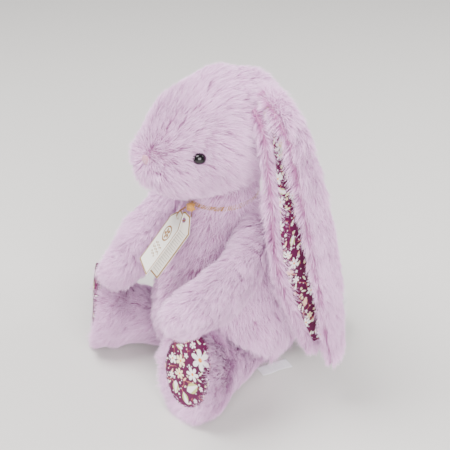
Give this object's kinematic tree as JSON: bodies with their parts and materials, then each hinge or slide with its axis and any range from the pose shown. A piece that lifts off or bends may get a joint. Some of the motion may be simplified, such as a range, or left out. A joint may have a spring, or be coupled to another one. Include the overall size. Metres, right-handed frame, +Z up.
{
  "type": "plush rabbit",
  "caption": "Seated lop-eared plush rabbit with soft pile, printed soles and ear linings, bead eyes, a pompom tail and a folded swing tag on a ribbon collar.",
  "frame": {"origin": "on the seat's flat underside, below the neck's middle, on the surface that the rabbit sits on", "axes": "the rabbit faces -Y, its left side is +X, +Z is up"},
  "size_m": [0.1865, 0.1713, 0.227],
  "materials": {
    "plush": "long soft pile, matt",
    "print": "printed cotton, flowers on deep magenta",
    "fluff": "white pile, matt",
    "stuffing": "loose fibre",
    "beans": "pellets in a cloth pouch",
    "bead": "polished black",
    "washer": "plain",
    "nose": "stitched, matt",
    "ribbon": "gold satin",
    "card": "cream card with a gold edge",
    "satin": "white satin"
  },
  "bodies": {
    "body": {"torso_front_panel": "plush", "torso_back_panel": "plush", "seat_patch": "plush", "torso_stuffing": "stuffing", "seat_bean_pouch": "beans", "tail_cover": "fluff", "tail_stuffing": "stuffing", "neck_ribbon": "ribbon", "ribbon_knot": "ribbon", "care_label": "satin"},
    "head": {"head_left_panel": "plush", "head_right_panel": "plush", "head_stuffing": "stuffing", "eye_left": "bead", "eye_washer_left": "washer", "eye_right": "bead", "eye_washer_right": "washer", "nose": "nose"},
    "arm_left": {"arm_left_outer_panel": "plush", "arm_left_inner_panel": "plush", "arm_left_stuffing": "stuffing"},
    "leg_left": {"leg_left_outer_panel": "plush", "leg_left_inner_panel": "plush", "leg_left_stuffing": "stuffing", "foot_left_bean_pouch": "beans", "foot_left_sole_pad": "print"},
    "ear_left": {"ear_left_back": "plush", "ear_left_lining": "print"},
    "arm_right": {"arm_right_outer_panel": "plush", "arm_right_inner_panel": "plush", "arm_right_stuffing": "stuffing"},
    "leg_right": {"leg_right_outer_panel": "plush", "leg_right_inner_panel": "plush", "leg_right_stuffing": "stuffing", "foot_right_bean_pouch": "beans", "foot_right_sole_pad": "print"},
    "ear_right": {"ear_right_back": "plush", "ear_right_lining": "print"},
    "swing_tag": {"tag_front_leaf": "card", "tag_ribbon_loop": "ribbon"},
    "tag_back": {"tag_back_leaf": "card"}
  },
  "joints": [
    {"name": "head_nod", "type": "hinge", "parent": "body", "child": "head", "pos_m": [0, -0.004, 0.142], "axis": [1, 0, 0], "range_deg": [-6, 6], "stiffness_Nm_per_rad": 0.6},
    {"name": "arm_left_lift", "type": "hinge", "parent": "body", "child": "arm_left", "pos_m": [0.04, -0.008, 0.124], "axis": [-0.9903, -0.1392, 0], "range_deg": [0, 45]},
    {"name": "arm_right_lift", "type": "hinge", "parent": "body", "child": "arm_right", "pos_m": [-0.04, -0.008, 0.124], "axis": [-0.9986, -0.0523, 0], "range_deg": [0, 45]},
    {"name": "leg_left_dangle", "type": "hinge", "parent": "body", "child": "leg_left", "pos_m": [0.026, -0.004, 0.028], "axis": [0.9563, 0.2924, 0], "range_deg": [0, 24], "stiffness_Nm_per_rad": 0.25},
    {"name": "leg_right_dangle", "type": "hinge", "parent": "body", "child": "leg_right", "pos_m": [-0.026, -0.021, 0.028], "axis": [0.7547, -0.6561, 0], "range_deg": [0, 24], "stiffness_Nm_per_rad": 0.25},
    {"name": "ear_left_lift", "type": "hinge", "parent": "head", "child": "ear_left", "pos_m": [0.034, 0, 0.216], "axis": [0, -1, 0], "range_deg": [0, 70]},
    {"name": "ear_right_lift", "type": "hinge", "parent": "head", "child": "ear_right", "pos_m": [-0.036, 0.014, 0.19], "axis": [0, 1, 0], "range_deg": [0, 70]},
    {"name": "tag_swing", "type": "hinge", "parent": "body", "child": "swing_tag", "pos_m": [0.00623, -0.03332, 0.135], "axis": [-0.9272, 0.3746, 0], "range_deg": [0, 40]},
    {"name": "tag_fold", "type": "hinge", "parent": "swing_tag", "child": "tag_back", "pos_m": [-0.0065, -0.03739, 0.128], "axis": [0.2202, 0.545, 0.809], "range_deg": [-18, 0], "stiffness_Nm_per_rad": 0.0008}
  ]
}
